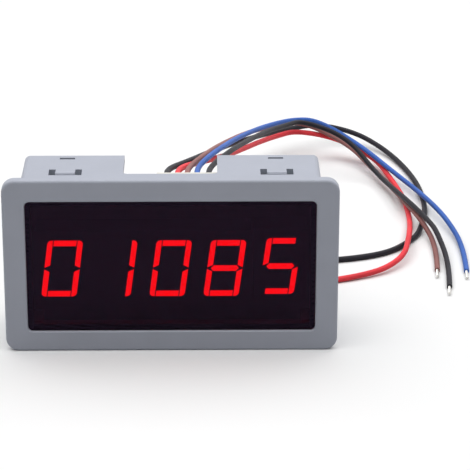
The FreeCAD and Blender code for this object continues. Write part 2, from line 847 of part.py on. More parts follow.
def make_plug(doc):
    """The white plug: a nose in the shroud, a flange outside it and a cavity for each contact."""
    body = new_body(doc, "plug_housing")
    sketch = front_sketch(body, SHROUD_MOUTH)
    connector_box(sketch, as_size(0))
    pad(body, sketch, S.plug_flange, backward=True)
    sketch = front_sketch(body, SHROUD_MOUTH)
    connector_box(sketch, S.shroud_wall + S.plug_clearance)
    nose = S.shroud_depth - S.shroud_floor - S.plug_clearance
    pad(body, sketch, nose)
    sketch = front_sketch(body, SHROUD_MOUTH - nose)
    square_holes(sketch, header_places(), S.contact_side / 2)
    pocket(body, sketch, nose + S.plug_flange - S.plug_back_wall)
    sketch = front_sketch(body, PLUG_BACK)
    square_holes(sketch, header_places(), S.wire_recess / 2)
    pocket(body, sketch, S.wire_recess_depth, backward=True)
    return body


def make_contacts(doc):
    """A square socket contact on each header pin, inside the plug."""
    body = new_body(doc, "crimp_contacts")
    start = BOARD_BACK + S.shroud_floor + S.plug_clearance * 3
    sketch = front_sketch(body, start)
    square_holes(sketch, header_places(), S.contact_side / 2)
    square_holes(sketch, header_places(), S.contact_bore / 2)
    pad(body, sketch, S.contact_length, backward=True)
    return body


def leg_steps(edge, sign):
    """Section of one bent leg in Y and Z: out of the package's side, down and along the board."""
    thick, reach = S.leg_thickness, S.leg_reach
    rise = BOARD_BACK + S.driver_height / 2
    knee, foot = edge + reach * 0.35 * sign, edge + reach * sign
    return [
        (BOARD_BACK, foot),
        (BOARD_BACK, knee),
        (rise, knee - thick * sign),
        (rise, edge),
        (rise + thick, edge),
        (rise + thick, knee),
        (BOARD_BACK + thick, knee + thick * sign),
        (BOARD_BACK + thick, foot),
    ]


def make_chip(doc, label, length, width, height, middle, rise, pins):
    """A flat package with bevelled sides and a dot by its first leg, and its two rows of legs."""
    body = new_body(doc, label)
    base = BOARD_BACK + S.chip_standoff
    sketch = front_sketch(body, base)
    half_length, half_width = length / 2, width / 2
    rectangle(sketch, middle - half_length, middle + half_length, rise - half_width, rise + half_width)
    pad(body, sketch, height, backward=True)
    dress_edges(doc, body, "Chamfer", S.chip_bevel, base + height)
    sketch = front_sketch(body, base + height)
    dot = S.chip_bevel * 3
    circle(sketch, middle - half_length + dot, rise - half_width + dot, S.chip_bevel)
    pocket(body, sketch, S.chip_bevel * 0.4, backward=True)
    legs = new_body(doc, label + "_legs")
    sketch = new_sketch(legs, "YZ_Plane", middle - S.leg_pitch * ((pins - 1) / 2))
    for sign, edge in sides(half_width):
        outline(sketch, [(y, rise + z) for y, z in leg_steps(edge, sign)])
    first = pad(legs, sketch, S.leg_width, both_ways=True)
    doc.recompute()
    row = legs.newObject("PartDesign::LinearPattern", label + "_row")
    row.Originals = [first]
    row.Direction = (next(o for o in legs.Origin.OriginFeatures if o.Role == "X_Axis"), [""])
    row.setExpression("Length", (S.leg_pitch * (pins - 1)).formula)
    row.Occurrences = pins
    legs.Tip = row
    return [body, legs]


def make_chips(doc):
    controller = make_chip(
        doc, "microcontroller", S.controller_length, S.controller_width, S.controller_height,
        FOUR_SHIFT, FOUR_RISE, int(DRIVING["controller_pins"]),
    )
    driver = make_chip(
        doc, "segment_driver", S.driver_length, S.driver_width, S.driver_height,
        SINGLE_SHIFT, SINGLE_RISE, int(DRIVING["driver_pins"]),
    )
    return controller + driver


def make_regulator(doc):
    """The voltage regulator with its metal tab and two legs."""
    body = new_body(doc, "voltage_regulator")
    x, z = S.regulator_inset - HALF_BOARD_WIDTH, BOARD_TOP - S.regulator_drop
    half, base = S.regulator_width / 2, BOARD_BACK + S.tab_thickness
    sketch = front_sketch(body, base)
    half_length = S.regulator_length / 2
    rectangle(sketch, x - half, x + half, z - half_length, z + half_length)
    pad(body, sketch, S.regulator_height - S.tab_thickness, backward=True)
    tab = block(
        doc, "regulator_tab_plate",
        (x - half * 0.8, BOARD_BACK, z - half_length * 0.8),
        (x + half * 0.8, base, z + half_length + S.tab_reach),
    )
    legs = []
    for sign, place in sides(half * 0.7):
        legs.append(block(
            doc, f"regulator_leg_{sign + 1}",
            (x + place - S.leg_width, BOARD_BACK, z - half_length - S.leg_reach),
            (x + place + S.leg_width, BOARD_BACK + S.leg_thickness, z - half_length * 0.85),
        ))
    return [body, group(doc, "regulator_tab_and_legs", [tab] + legs)]


def make_diode(doc):
    """The input protection diode, moulded round two folded terminals."""
    body = new_body(doc, "protection_diode")
    x, z = S.diode_inset - HALF_BOARD_WIDTH, BOARD_TOP - S.regulator_drop
    half_length, half_width = S.diode_length / 2, S.diode_width / 2
    base = BOARD_BACK + S.leg_thickness
    sketch = front_sketch(body, base)
    rectangle(sketch, x - half_length, x + half_length, z - half_width, z + half_width)
    pad(body, sketch, S.diode_height, backward=True)
    ends = []
    for sign, place in sides(half_length):
        inner, outer = x + place * 0.6, x + place + S.leg_thickness * sign
        low, high = (inner, outer) if sign > 0 else (outer, inner)
        ends.append(block(
            doc, f"diode_end_{sign + 1}",
            (low, BOARD_BACK, z - half_width * 0.6), (high, base, z + half_width * 0.6),
        ))
    return [body, group(doc, "diode_terminals", ends)]


def make_capacitor(doc):
    """A surface-mount electrolytic capacitor: a plastic base and a can with a crimp groove."""
    x, z = HALF_BOARD_WIDTH - S.capacitor_inset, BOARD_TOP - S.capacitor_drop
    half = S.capacitor_base / 2
    base_body = new_body(doc, "capacitor_base")
    sketch = front_sketch(base_body, BOARD_BACK)
    corner = half * 0.35
    outline(sketch, [
        (x - half, z - half), (x + half - corner, z - half), (x + half, z - half + corner),
        (x + half, z + half - corner), (x + half - corner, z + half), (x - half, z + half),
    ])
    pad(base_body, sketch, S.capacitor_base_height, backward=True)
    can = new_body(doc, "capacitor_can")
    base = BOARD_BACK + S.capacitor_base_height
    groove, radius = S.capacitor_crimp, S.capacitor_radius
    sketch = new_sketch(can, "XY_Plane", z)
    top = base + S.capacitor_height
    outline(sketch, [
        (x, base),
        (x + radius, base),
        (x + radius, base + groove * 3),
        (x + radius - groove, base + groove * 4),
        (x + radius, base + groove * 5),
        (x + radius, top - groove * 2),
        (x + radius - groove * 2, top),
        (x, top),
    ])
    turn = can.newObject("PartDesign::Revolution", "capacitor_turn")
    turn.Profile = sketch
    axis = sketch.addGeometry(
        Part.LineSegment(Vector(x.value, base.value, 0), Vector(x.value, top.value, 0)), True
    )
    tie(sketch, axis, 1, x, base)
    tie(sketch, axis, 2, x, top)
    turn.ReferenceAxis = (sketch, ["Axis0"])
    turn.Angle = 360
    return [base_body, can]


def make_crystal(doc):
    """The timing crystal: a flat can with round ends on a wider flange."""
    body = new_body(doc, "crystal")
    left = LAST_RESISTOR + S.chip_part_width / 2 + S.crystal_gap
    x, z = left + S.crystal_flange + S.crystal_length / 2, SMALL_PART_RISE
    for grow, start, length in (
        (S.crystal_flange, BOARD_BACK, S.crystal_flange),
        (as_size(0), BOARD_BACK + S.crystal_flange, S.crystal_height - S.crystal_flange),
    ):
        half = S.crystal_width / 2 + grow
        straight = S.crystal_length / 2 - S.crystal_width / 2
        sketch = front_sketch(body, start)
        outline(sketch, [
            (x + straight, z - half),
            (x + straight + half, z, x + straight, z),
            (x + straight, z + half, x + straight, z),
            (x - straight, z + half),
            (x - straight - half, z, x - straight, z),
            (x - straight, z - half, x - straight, z),
        ])
        pad(body, sketch, length, backward=True)
    return [body]


def make_transistors(doc):
    """One digit transistor for each digit, each on three short legs."""
    bodies, legs = [], []
    z = SMALL_PART_RISE
    for number in range(len(SHOWN)):
        x = S.transistor_inset - HALF_BOARD_WIDTH + S.transistor_spacing * number
        half_length, half_width = S.transistor_length / 2, S.transistor_width / 2
        base = BOARD_BACK + S.leg_thickness
        bodies.append(block(
            doc, f"transistor_{number}", (x - half_length, base, z - half_width),
            (x + half_length, base + S.transistor_height, z + half_width),
        ))
        for place, side in ((-S.transistor_length / 3, -1), (S.transistor_length / 3, -1), (Size(0), 1)):
            inner, outer = z + half_width * 0.5 * side, z + (half_width + S.leg_width) * side
            low, high = (inner, outer) if side > 0 else (outer, inner)
            legs.append(block(
                doc, f"transistor_leg_{len(legs)}",
                (x + place - S.leg_width / 2, BOARD_BACK, low),
                (x + place + S.leg_width / 2, base, high),
            ))
    return [group(doc, "digit_transistors", bodies), group(doc, "transistor_legs", legs)]


def make_chip_parts(doc):
    """Small resistors and capacitors, each a body between two metal ends."""
    made = []
    capacitors = HALF_BOARD_WIDTH - S.capacitor_inset + S.capacitor_base / 2
    rows = {
        "chip_resistors": [
            (FIRST_RESISTOR + S.chip_part_spacing * number, SMALL_PART_RISE)
            for number in range(RESISTORS)
        ],
        "chip_capacitors": [
            (capacitors + S.chip_part_spacing * (number + 0.7), CONNECTOR_RISE) for number in range(2)
        ],
    }
    ends = []
    for label, places in rows.items():
        bodies = []
        for number, (x, z) in enumerate(places):
            half, width = S.chip_part_width / 2, S.chip_part_length / 2
            top = BOARD_BACK + S.chip_part_height
            inner = width - S.chip_part_end
            bodies.append(block(
                doc, f"{label}_{number}", (x - half, BOARD_BACK, z - inner), (x + half, top, z + inner)
            ))
            ends.append(block(
                doc, f"{label}_low_{number}", (x - half, BOARD_BACK, z - width), (x + half, top, z - inner)
            ))
            ends.append(block(
                doc, f"{label}_high_{number}", (x - half, BOARD_BACK, z + inner), (x + half, top, z + width)
            ))
        made.append(group(doc, label, bodies))
    return made + [group(doc, "chip_part_ends", ends)]


def lead_path(corners):
    """Straight runs joined by tangent arcs, each as large as its two runs allow."""
    edges, radii, start = [], [], corners[0]
    for before, corner, after in zip(corners, corners[1:], corners[2:]):
        back, on = before - corner, after - corner
        reach = 0.45 * min(back.Length, on.Length)
        back.normalize()
        on.normalize()
        turn = math.pi - back.getAngle(on)
        radius = reach / math.tan(turn / 2)
        first, last = corner + back * reach, corner + on * reach
        inward = (back + on).normalize()
        middle = corner + inward * (radius / math.cos(turn / 2) - radius)
        edges.append(Part.LineSegment(start, first).toShape())
        edges.append(Part.Arc(first, middle, last).toShape())
        radii.append(round(radius, 1))
        start = last
    edges.append(Part.LineSegment(start, corners[-1]).toShape())
    return Part.Wire(edges), radii


def read_size(sheet, alias):
    return float(sheet.get(alias))


def make_leads(doc, sheet):
    """The five leads and the bare tinned end of each."""
    made = []
    straight = read_size(sheet, "straight_lead")
    for (label, (alias, points)), (x, z) in zip(LEADS.items(), header_places()):
        radius = read_size(sheet, alias) / 2
        start = Vector(x.value, LEAD_START.value, z.value)
        out = start + Vector(0, straight, 0)
        path, radii = lead_path([start, out] + [Vector(*point) for point in points])
        ring = Part.Wire(Part.Circle(start, out - start, radius).toShape())
        tube = path.makePipeShell([ring], True, True)
        lead = doc.addObject("Part::Feature", label)
        lead.Label = label
        lead.Shape = tube
        lead.Placement = Placement()
        section = math.pi * radius**2 * path.Length
        print(label, "length", round(path.Length, 1), "radii", radii,
              "volume", round(tube.Volume, 1), "section x length", round(section, 1))
        end, before = Vector(*points[-1]), Vector(*points[-2])
        bare = doc.addObject("Part::Cylinder", label.replace("lead", "bare_end"))
        bare.Label = bare.Name
        bare.setExpression("Radius", (S.bare_wire / 2).formula)
        bare.setExpression("Height", S.bare_length.formula)
        bare.Placement = Placement(end, Rotation(Vector(0, 0, 1), end - before))
        made += [lead, bare]
    return made


def check(doc, nodes):
    """Stops when a feature has failed or a sub-part has no valid shape."""
    for item in doc.Objects:
        if "Invalid" in item.State or "Error" in item.State:
            raise RuntimeError(f"{item.Name} is {item.State}")
    for node in nodes:
        shape = node.Shape
        if shape.isNull() or not shape.isValid() or not shape.Solids:
            raise RuntimeError(f"{node.Label} has no valid shape")


def main():
    doc = FreeCAD.newDocument("digital_tachometer")
    sheet = fill_sheet(doc)
    nodes = [make_housing(doc), make_pane(doc)]
    nodes += make_displays(doc)
    pins = make_pins_and_solder(doc)
    nodes += pins + [make_board(doc, pins[:2])]
    nodes += [make_shroud(doc, pins[1]), make_plug(doc), make_contacts(doc)]
    nodes += make_chips(doc) + make_regulator(doc) + make_diode(doc) + make_capacitor(doc)
    nodes += make_crystal(doc) + make_transistors(doc) + make_chip_parts(doc)
    nodes += make_leads(doc, sheet)
    doc.recompute()
    check(doc, nodes)
    os.makedirs("parts", exist_ok=True)
    for node in nodes:
        node.Shape.exportStep(f"parts/{node.Label}.step")
        print(node.Label, len(node.Shape.Solids), round(node.Shape.Volume, 2))


main()
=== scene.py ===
"""Looks of the digital tachometer: materials, leads, solder, board print, floor, lights and camera."""

import math

import bmesh
import bpy
from mathutils import Matrix, Vector


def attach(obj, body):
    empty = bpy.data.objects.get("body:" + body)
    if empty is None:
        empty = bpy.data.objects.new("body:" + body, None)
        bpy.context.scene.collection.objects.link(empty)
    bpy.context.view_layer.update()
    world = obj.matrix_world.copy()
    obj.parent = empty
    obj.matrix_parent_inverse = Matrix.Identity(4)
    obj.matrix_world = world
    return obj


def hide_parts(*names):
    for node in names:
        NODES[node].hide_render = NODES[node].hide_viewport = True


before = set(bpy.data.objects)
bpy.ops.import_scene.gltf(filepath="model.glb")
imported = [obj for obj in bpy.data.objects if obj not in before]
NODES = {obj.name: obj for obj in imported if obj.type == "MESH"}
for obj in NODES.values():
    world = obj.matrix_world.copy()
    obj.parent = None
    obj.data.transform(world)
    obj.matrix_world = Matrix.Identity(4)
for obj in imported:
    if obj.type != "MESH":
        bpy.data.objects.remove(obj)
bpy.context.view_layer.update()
MM = 0.001

# The leads: diameter, length and route in millimetres. The routes follow the photographed lines
LEADS = {
    "black_supply": (1.5, 279.2, [
        (-1.38, 8.3, 34.7), (-1.38, 14.1, 34.7), (-1.2, 23.7, 33.4), (3.6, 37.2, 30.6),
        (7.6, 53.0, 27.0), (11.4, 70.1, 22.7), (15.5, 87.8, 18.2), (20.5, 105.2, 13.8),
        (25.4, 121.2, 9.8), (31.9, 134.2, 6.9), (41.9, 142.4, 6.1), (53.5, 142.1, 3.5),
        (61.2, 133.2, 1.5), (66.3, 119.0, 0.8), (69.2, 102.0, 0.8), (69.6, 83.6, 0.8),
        (67.7, 71.7, 0.8), (64.5, 58.8, 0.8), (52.9, 45.4, 0.8), (36.6, 43.4, 0.8)]),
    "red_supply": (1.5, 264.8, [
        (1.16, 8.3, 34.7), (1.16, 14.1, 34.7), (1.7, 25.6, 33.0), (6.5, 40.5, 29.2),
        (11.2, 56.2, 25.0), (15.4, 73.3, 20.4), (19.7, 90.9, 16.1), (24.3, 107.7, 12.3),
        (29.1, 121.8, 9.1), (35.4, 131.2, 7.7), (48.0, 131.0, 5.2), (58.4, 121.9, 2.0),
        (61.6, 108.1, 0.9), (64.2, 91.3, 0.8), (64.4, 73.7, 0.8), (62.7, 56.8, 2.9),
        (59.9, 41.4, 2.2), (49.9, 32.6, 0.8), (35.3, 28.2, 0.8)]),
    "brown_sensor": (1.4, 240.9, [
        (3.7, 8.3, 34.7), (3.7, 14.1, 34.7), (3.8, 23.6, 33.6), (7.1, 38.7, 31.2),
        (10.5, 57.0, 27.4), (14.2, 76.6, 22.7), (18.4, 96.0, 18.1), (23.7, 113.5, 14.0),
        (29.1, 126.7, 10.8), (37.2, 133.1, 10.0), (50.9, 126.5, 4.8), (56.4, 114.3, 2.0),
        (61.6, 96.9, 1.6), (64.0, 82.4, 2.5), (66.8, 69.2, 2.9), (69.8, 53.9, 0.8),
        (68.3, 37.0, 0.72)]),
    "blue_sensor": (1.4, 247.0, [
        (6.24, 8.3, 34.7), (6.24, 14.1, 34.7), (6.1, 23.9, 33.6), (9.4, 39.6, 31.4),
        (12.6, 57.6, 27.5), (16.2, 77.1, 23.1), (20.6, 96.1, 18.8), (25.7, 113.0, 15.1),
        (34.3, 129.0, 11.9), (41.9, 132.6, 10.4), (54.2, 125.8, 4.7), (61.8, 109.9, 2.7),
        (67.0, 98.1, 1.8), (70.5, 82.8, 3.0), (74.2, 70.4, 2.2), (76.9, 52.8, 0.9),
        (75.8, 36.1, 0.72)]),
    "black_signal": (1.4, 225.5, [
        (8.78, 8.3, 34.7), (8.78, 14.1, 34.7), (9.3, 24.6, 33.6), (14.2, 40.6, 32.0),
        (17.6, 58.1, 28.1), (21.5, 76.8, 23.8), (25.7, 94.5, 19.8), (31.3, 109.2, 16.5),
        (36.4, 118.5, 15.0), (49.7, 117.6, 10.1), (57.5, 106.6, 2.7), (60.9, 93.8, 3.1),
        (64.6, 76.8, 4.7), (68.8, 63.6, 4.0), (70.0, 56.7, 3.9), (71.9, 41.4, 0.72),
        (70.3, 25.5, 0.72)]),
}
INSULATION = {
    "black": (0.013, 0.012, 0.018),
    "red": (0.90, 0.058, 0.074),
    "brown": (0.29, 0.125, 0.115),
    "blue": (0.048, 0.140, 0.50),
}

# The bare ends in millimetres, and how the strands lie
BARE_LENGTH, BARE_WIDTH = 4.5, 0.8
INSIDE_INSULATION = 0.4
STRAND_RADIUS = BARE_WIDTH / 6
STRAND_TURNS = 1.2
STRAND_STEPS = 26


def row(middle, pitch, count):
    """Places at an even pitch, spread about a middle."""
    return [middle + pitch * (place - (count - 1) / 2) for place in range(count)]


# Places on the circuit board in millimetres, as (x, z)
BOARD_FRONT, BOARD_BACK = -2.3, -0.7
PITCH, LEG_PITCH = 2.54, 1.27
CONTROLLER, DRIVER = (-6.56, 20.5), (25.79, 20.97)
REGULATOR, DIODE, CAPACITOR = (-24.5, 34.0), (-12.5, 34.0), (19.5, 35.0)
CRYSTAL, CRYSTAL_LEGS = (12.0, 7.8), 6.5
CONNECTOR = (3.7, 34.7)
# Each circuit lies behind the middle of a display: its place, its legs in a row, their reach,
# and the display's pins in a row
CIRCUITS = ((CONTROLLER, 10, 4.75, 6), (DRIVER, 8, 2.95, 5))
ROW_OFFSET = 7.62
DISPLAY_PINS = [
    (x, centre[1] + side * ROW_OFFSET)
    for centre, _, _, pins in CIRCUITS for side in (-1, 1) for x in row(centre[0], PITCH, pins)
]
HEADER_PINS = [(x, CONNECTOR[1]) for x in row(CONNECTOR[0], PITCH, 5)]
TRANSISTORS = [(-28.0 + 4.6 * place, 7.8) for place in range(5)]
RESISTORS = [(-6.15 + 2.8 * place, 7.8) for place in range(4)]
CHIP_CAPACITORS = [(24.76, 34.7), (27.56, 34.7)]
VIAS = [(-31.4, 19.0), (-31.4, 24.0), (9.6, 24.2), (14.2, 30.4), (-16.0, 30.0), (17.4, 12.4)]

# Widths and heights on the board in millimetres
FINE_TRACE, SIGNAL_TRACE, GROUND_TRACE, SUPPLY_TRACE = 0.3, 0.35, 0.9, 1.1
TRACE_HEIGHT, PAD_HEIGHT, VIA_HEIGHT = 0.03, 0.045, 0.05
INK_WIDTH, INK_HEIGHT = 0.16, 0.05
FILLET_RADIUS, FILLET_HEIGHT = 0.9, 0.72

# The camera, fitted to the photograph: millimetres and degrees
CAMERA_AT = (7.544, -510.476, 220.502)
CAMERA_AZIMUTH = 0.861
CAMERA_ELEVATION = 20.971
CAMERA_ROLL = 0.116
CAMERA_LENS = 174.34

# The light and the floor, in metres and watts
LAMP_AT, LAMP_SIZE, LAMP_POWER = (0, 0.15, 0.9), (2.0, 1.6), 18.3
ROOM_LIGHT = 0.09
WHITE = (1, 1, 1, 1)
FLOOR_SEEN, FLOOR_RETURNED = (0.96, 0.96, 0.96, 1), (0.6, 0.6, 0.6, 1)
FADE_START, FADE_END = 0.35, 0.8


# Shader nodes. The owner is a material or the world

def feed(owner, value, socket):
    """Links an output to a socket, or sets the socket to a plain value."""
    if isinstance(value, bpy.types.NodeSocket):
        owner.node_tree.links.new(value, socket)
    else:
        socket.default_value = value


def node(owner, kind, **inputs):
    """Adds a node and feeds its inputs, whose names have _ for a space."""
    made = owner.node_tree.nodes.new(kind)
    for key, value in inputs.items():
        feed(owner, value, made.inputs[key.replace("_", " ")])
    return made


def maths(owner, operation, first, second):
    made = node(owner, "ShaderNodeMath")
    made.operation = operation
    feed(owner, first, made.inputs[0])
    feed(owner, second, made.inputs[1])
    return made.outputs[0]


def mix_colours(owner, share, first, second):
    """The first colour where the share is 0 and the second where it is 1."""
    mix = node(owner, "ShaderNodeMix")
    mix.data_type = "RGBA"
    for place, value in ((0, share), (6, first), (7, second)):
        feed(owner, value, mix.inputs[place])
    return mix.outputs[2]


def mix_shaders(owner, share, first, second):
    """The first shader where the share is 0 and the second where it is 1."""
    mix = node(owner, "ShaderNodeMixShader")
    for socket, value in zip(mix.inputs, (share, first.outputs[0], second.outputs[0])):
        feed(owner, value, socket)
    return mix.outputs[0]


def seen_or_mirrored(owner):
    """1 for rays from the camera, from mirrors and through glass, else 0."""
    path = node(owner, "ShaderNodeLightPath").outputs
    mirrored = maths(owner, "MAXIMUM", path["Is Glossy Ray"], path["Is Transmission Ray"])
    return maths(owner, "MAXIMUM", path["Is Camera Ray"], mirrored)


def position(owner):
    return node(owner, "ShaderNodeTexCoord").outputs["Object"]


def axes_of(owner, source):
    return node(owner, "ShaderNodeSeparateXYZ", Vector=source).outputs


def noise(owner, scale, detail=2.0, rough=0.5):
    place = position(owner)
    made = node(owner, "ShaderNodeTexNoise", Scale=scale, Detail=detail, Roughness=rough, Vector=place)
    return made.outputs["Fac"]


def ramp(owner, source, low, high, start=0.0, end=1.0):
    """A colour that runs from low to high while the source goes from start to end."""
    made = node(owner, "ShaderNodeValToRGB", Fac=source)
    for element, place, colour in zip(made.color_ramp.elements, (start, end), (low, high)):
        element.position = place
        element.color = (*colour, 1)
    return made.outputs["Color"]


def scaled(owner, source, low, high):
    """A number that runs from low to high while the source goes from 0 to 1."""
    return node(owner, "ShaderNodeMapRange", Value=source, To_Min=low, To_Max=high).outputs["Result"]


# Materials

def shader_of(material):
    return material.node_tree.nodes["Principled BSDF"]


def new_material(name, colour, roughness, metallic=0.0, specular=0.5):
    material = bpy.data.materials.new(name)
    material.use_nodes = True
    shader = shader_of(material)
    shader.inputs["Base Color"].default_value = (*colour, 1)
    shader.inputs["Roughness"].default_value = roughness
    shader.inputs["Metallic"].default_value = metallic
    shader.inputs["Specular IOR Level"].default_value = specular
    return material


def add_bump(material, height, strength, distance):
    bump = node(material, "ShaderNodeBump", Strength=strength, Distance=distance, Height=height)
    feed(material, bump.outputs["Normal"], shader_of(material).inputs["Normal"])


def vary_colour(material, source, colour, spread):
    """Lets the colour get darker and lighter by a share of itself."""
    low, high = ([c * (1 + sign * spread) for c in colour] for sign in (-1, 1))
    shades = ramp(material, source, low, high, 0.3, 0.7)
    feed(material, shades, shader_of(material).inputs["Base Color"])


def vary_roughness(material, source, low, high):
    feed(material, scaled(material, source, low, high), shader_of(material).inputs["Roughness"])


def plain(name, colour, roughness, scale=300, bump=0.1, **more):
    """A moulded or metal surface with slight changes of shade and a fine relief."""
    material = new_material(name, colour, roughness, **more)
    vary_colour(material, noise(material, scale), colour, 0.04)
    vary_roughness(material, noise(material, scale * 3), roughness * 0.85, roughness * 1.15)
    add_bump(material, noise(material, scale * 6), bump, 0.00003)
    return material


def grey_plastic():
    """Grey ABS with the fine grain of an eroded mould, and flow shades a few millimetres across."""
    colour = (0.43, 0.452, 0.522)
    material = new_material("grey_plastic", colour, 0.5, specular=0.22)
    vary_colour(material, noise(material, 130, 4.0), colour, 0.025)
    vary_roughness(material, noise(material, 1100, 3.0), 0.42, 0.6)
    add_bump(material, noise(material, 3000, 2.0, 0.6), 0.4, 0.00004)
    return material


def smoked_acrylic():
    """Polished dark acrylic, with a faint purple sheen."""
    material = new_material("smoked_acrylic", (0.20, 0.02, 0.04), 0.02)
    shader = shader_of(material)
    shader.inputs["Transmission Weight"].default_value = 1.0
    shader.inputs["IOR"].default_value = 1.24
    shader.inputs["Specular Tint"].default_value = (0.77, 0.52, 1.0, 1)
    vary_roughness(material, noise(material, 60), 0.0, 0.012)
    return material


def lit_red():
    """Light windows, a little brighter in some places of the resin than in others."""
    material = new_material("lit_red", (0.5, 0.003, 0.004), 0.45, specular=0.2)
    shader = shader_of(material)
    shader.inputs["Emission Color"].default_value = (1.0, 0.0, 0.0, 1)
    feed(material, scaled(material, noise(material, 420), 4.3, 5.1), shader.inputs["Emission Strength"])
    return material


def board_green():
    """Solder mask with the faint weave of the glass cloth under it."""
    material = new_material("board", (0.008, 0.12, 0.04), 0.28)
    place = position(material)
    threads = []
    for direction in ("X", "Z"):
        wave = node(material, "ShaderNodeTexWave", Scale=620.0, Distortion=1.5, Detail=1.0, Vector=place)
        wave.bands_direction = direction
        threads.append(wave.outputs["Fac"])
    cloth = maths(material, "MULTIPLY", *threads)
    green = ramp(material, cloth, (0.006, 0.085, 0.030), (0.011, 0.125, 0.045))
    feed(material, green, shader_of(material).inputs["Base Color"])
    vary_roughness(material, noise(material, 400), 0.2, 0.36)
    add_bump(material, cloth, 0.12, 0.00003)
    return material


def insulation(name, colour):
    """Extruded vinyl, with faint ripples and rubbed patches."""
    material = new_material("insulation_" + name, colour, 0.5, specular=0.2)
    vary_colour(material, noise(material, 110, 3.0), colour, 0.12)
    vary_roughness(material, noise(material, 450, 3.0), 0.44, 0.6)
    add_bump(material, noise(material, 650), 0.14, 0.00005)
    return material


def marked(material, colour, where):
    """Prints a mark in another colour where the mask is 1."""
    base = shader_of(material).inputs["Base Color"]
    feed(material, mix_colours(material, where, base.links[0].from_socket, (*colour, 1)), base)
    return material


def can_top_mark(material):
    """The dark half-moon on the capacitor's end that shows its negative side."""
    across = axes_of(material, position(material))[0]
    facing = axes_of(material, node(material, "ShaderNodeNewGeometry").outputs["Normal"])
    side = maths(material, "LESS_THAN", across, (CAPACITOR[0] - 1.3) * MM)
    end = maths(material, "GREATER_THAN", facing[1], 0.8)
    return marked(material, (0.02, 0.02, 0.025), maths(material, "MULTIPLY", side, end))


def cathode_band(material):
    """The pale band across one end of the diode."""
    across = axes_of(material, position(material))[0]
    left = maths(material, "GREATER_THAN", across, (DIODE[0] - 1.8) * MM)
    right = maths(material, "LESS_THAN", across, (DIODE[0] - 1.0) * MM)
    return marked(material, (0.55, 0.55, 0.52), maths(material, "MULTIPLY", left, right))


def give(material, *names):
    for name in names:
        mesh = NODES[name].data
        mesh.materials.clear()
        mesh.materials.append(material)


def dress_nodes():
    give(grey_plastic(), "housing")
    give(smoked_acrylic(), "window_pane")
    give(
        plain("display_plastic", (0.006, 0.004, 0.006), 0.6, specular=0.15),
        "display_4_digit", "display_1_digit",
    )
    give(lit_red(), "lit_segments_4_digit", "lit_segments_1_digit")
    give(
        plain("unlit_red", (0.010, 0.004, 0.006), 0.6, specular=0.15),
        "unlit_segments_4_digit", "unlit_segments_1_digit",
    )
    give(board_green(), "circuit_board")
    give(
        TIN, "display_pins", "header_pins", "crimp_contacts", "microcontroller_legs",
        "segment_driver_legs", "regulator_tab_and_legs", "diode_terminals", "transistor_legs",
        "chip_part_ends", *("bare_end_" + name for name in LEADS),
    )
    give(SOLDER, "display_solder", "header_solder")
    give(NYLON, "header_shroud", "plug_housing")
    black = (0.018, 0.018, 0.020)
    give(
        plain("package_black", black, 0.55, bump=0.3), "microcontroller", "segment_driver",
        "voltage_regulator", "capacitor_base", "digit_transistors", "chip_resistors",
    )
    give(cathode_band(plain("package_banded", black, 0.55, bump=0.3)), "protection_diode")
    give(can_top_mark(plain("can_aluminium", (0.72, 0.73, 0.75), 0.3, metallic=1.0)), "capacitor_can")
    give(plain("can_steel", (0.6, 0.59, 0.56), 0.25, metallic=1.0), "crystal")
    give(plain("ceramic_tan", (0.34, 0.22, 0.11), 0.5), "chip_capacitors")


# Shapes, drawn in millimetres

def finish_piece(name, mesh, material):
    """Turns a mesh in millimetres into a piece that goes with the case."""
    bmesh.ops.scale(mesh, vec=(MM, MM, MM), verts=mesh.verts)
    bmesh.ops.recalc_face_normals(mesh, faces=mesh.faces)
    data = bpy.data.meshes.new(name)
    mesh.to_mesh(data)
    mesh.free()
    data.materials.append(material)
    piece = bpy.data.objects.new(name, data)
    bpy.context.scene.collection.objects.link(piece)
    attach(piece, "root")
    return piece


def circle(centre, across, above, radius, corners):
    """Points round a centre, in the plane of two directions."""
    turns = (2 * math.pi * corner / corners for corner in range(corners))
    return [centre + (across * math.cos(turn) + above * math.sin(turn)) * radius for turn in turns]


def board_circle(x, y, z, radius, corners):
    """Points round a place on the board, at a depth y."""
    return circle(Vector((x, y, z)), Vector((1, 0, 0)), Vector((0, 0, 1)), radius, corners)


def skin(mesh, rings, smooth=True):
    """Joins rings of points into a closed tube or turned shape."""
    corners = [[mesh.verts.new(point) for point in ring] for ring in rings]
    count = len(corners[0])
    for low, high in zip(corners, corners[1:]):
        for i in range(count):
            j = (i + 1) % count
            mesh.faces.new((low[i], low[j], high[j], high[i])).smooth = smooth
    mesh.faces.new(corners[0][::-1])
    mesh.faces.new(corners[-1])


def disc(mesh, x, z, radius, height):
    rings = [board_circle(x, y, z, radius, 24) for y in (BOARD_BACK, BOARD_BACK + height)]
    skin(mesh, rings, smooth=False)


def ribbon(mesh, line, width, height):
    """A flat strip with mitred corners along a line of (x, z) points on the board's back."""
    flat = [Vector(point) for point in line]
    rings = []
    for place, point in enumerate(flat):
        before = (point - flat[place - 1]).normalized() if place else None
        after = (flat[place + 1] - point).normalized() if place < len(flat) - 1 else None
        ahead = ((before or after) + (after or before)).normalized()
        reach = width / 2 / max(0.5, ahead.dot(before or after))
        out = Vector((-ahead.y, ahead.x)) * reach
        left, right, top = point + out, point - out, BOARD_BACK + height
        rings.append([
            Vector((left.x, BOARD_BACK, left.y)), Vector((left.x, top, left.y)),
            Vector((right.x, top, right.y)), Vector((right.x, BOARD_BACK, right.y)),
        ])
    skin(mesh, rings, smooth=False)


# The leads

